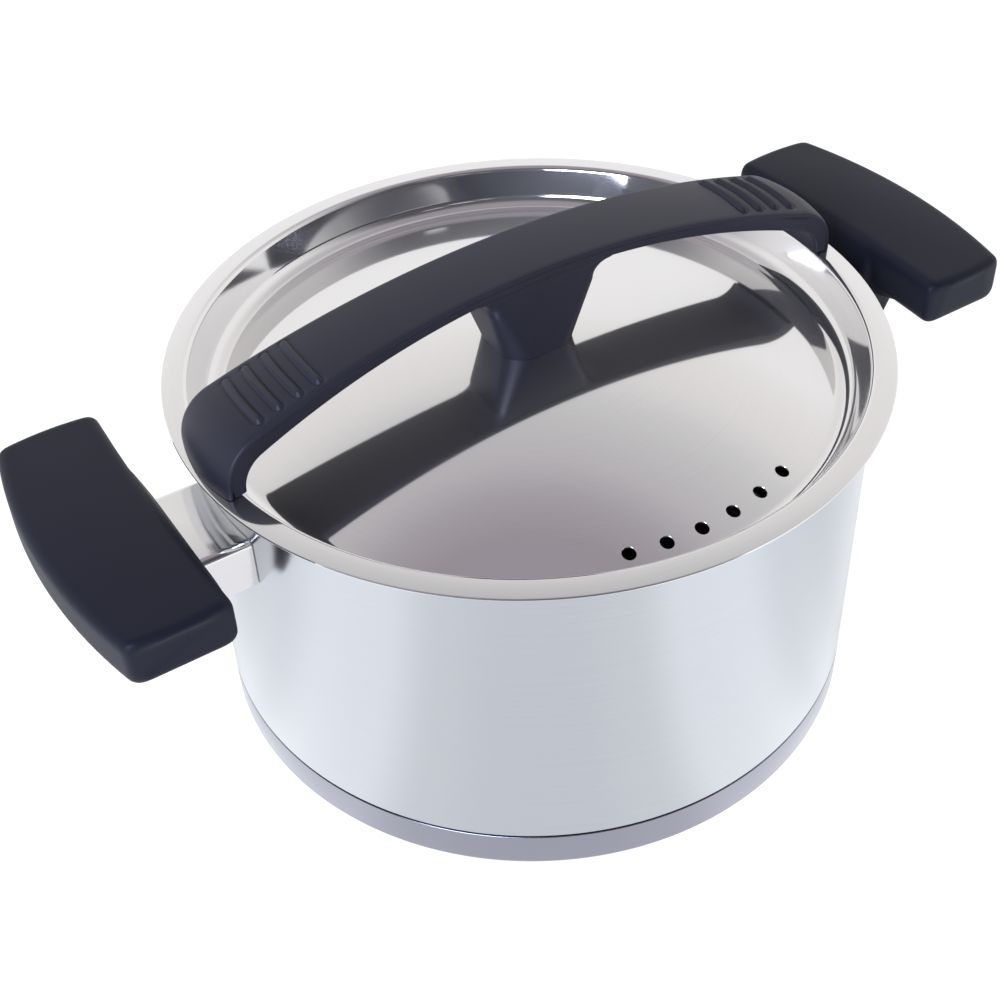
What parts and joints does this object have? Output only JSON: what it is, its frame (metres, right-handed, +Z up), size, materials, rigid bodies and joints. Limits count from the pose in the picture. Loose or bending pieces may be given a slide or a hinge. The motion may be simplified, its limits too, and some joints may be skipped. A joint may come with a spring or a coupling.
{
  "type": "lidded casserole",
  "caption": "Polished steel casserole on a capsule base, with a recessed strainer lid under an arched strap handle and a bracketed plastic grip on each side.",
  "frame": {"origin": "middle of the flat underside of the base, where the casserole stands", "axes": "+X through the right-hand grip and along the strap handle, +Z up along the casserole's own axis, +Y away from the strainer holes in the lid"},
  "size_m": [0.3652, 0.255, 0.177],
  "materials": {
    "polished_steel": "bright stainless steel polished almost to a mirror, with faint turning marks",
    "lid_steel": "mirror-polished stainless steel",
    "base_steel": "bright stainless steel, spun",
    "bracket_steel": "polished stainless sheet with rounded folds",
    "fastener_steel": "plain stainless steel",
    "core_aluminium": "plain aluminium disc",
    "insert_brass": "plain turned brass",
    "soft_plastic": "charcoal heat-resistant plastic with a fine satin grain"
  },
  "bodies": {
    "pot": {"pot_body": "polished_steel", "base_capsule": "base_steel", "base_core": "core_aluminium", "left_bracket": "bracket_steel", "left_boss": "fastener_steel", "left_grip": "soft_plastic", "left_grip_washer": "fastener_steel", "left_grip_screw": "fastener_steel", "right_bracket": "bracket_steel", "right_boss": "fastener_steel", "right_grip": "soft_plastic", "right_grip_washer": "fastener_steel", "right_grip_screw": "fastener_steel"},
    "lid_carrier": {"lid_washer": "fastener_steel"},
    "lid": {"lid_shell": "lid_steel", "strap_body": "soft_plastic", "strap_cover": "soft_plastic", "strap_insert": "insert_brass", "lid_screw": "fastener_steel"}
  },
  "joints": [
    {"name": "lid_lift", "type": "slide", "parent": "pot", "child": "lid_carrier", "axis": [0, 0, 1], "range_m": [0, 0.16]},
    {"name": "lid_turn", "type": "hinge", "parent": "lid_carrier", "child": "lid", "pos_m": [0, 0, 0.1385], "axis": [0, 0, 1], "continuous": true}
  ]
}
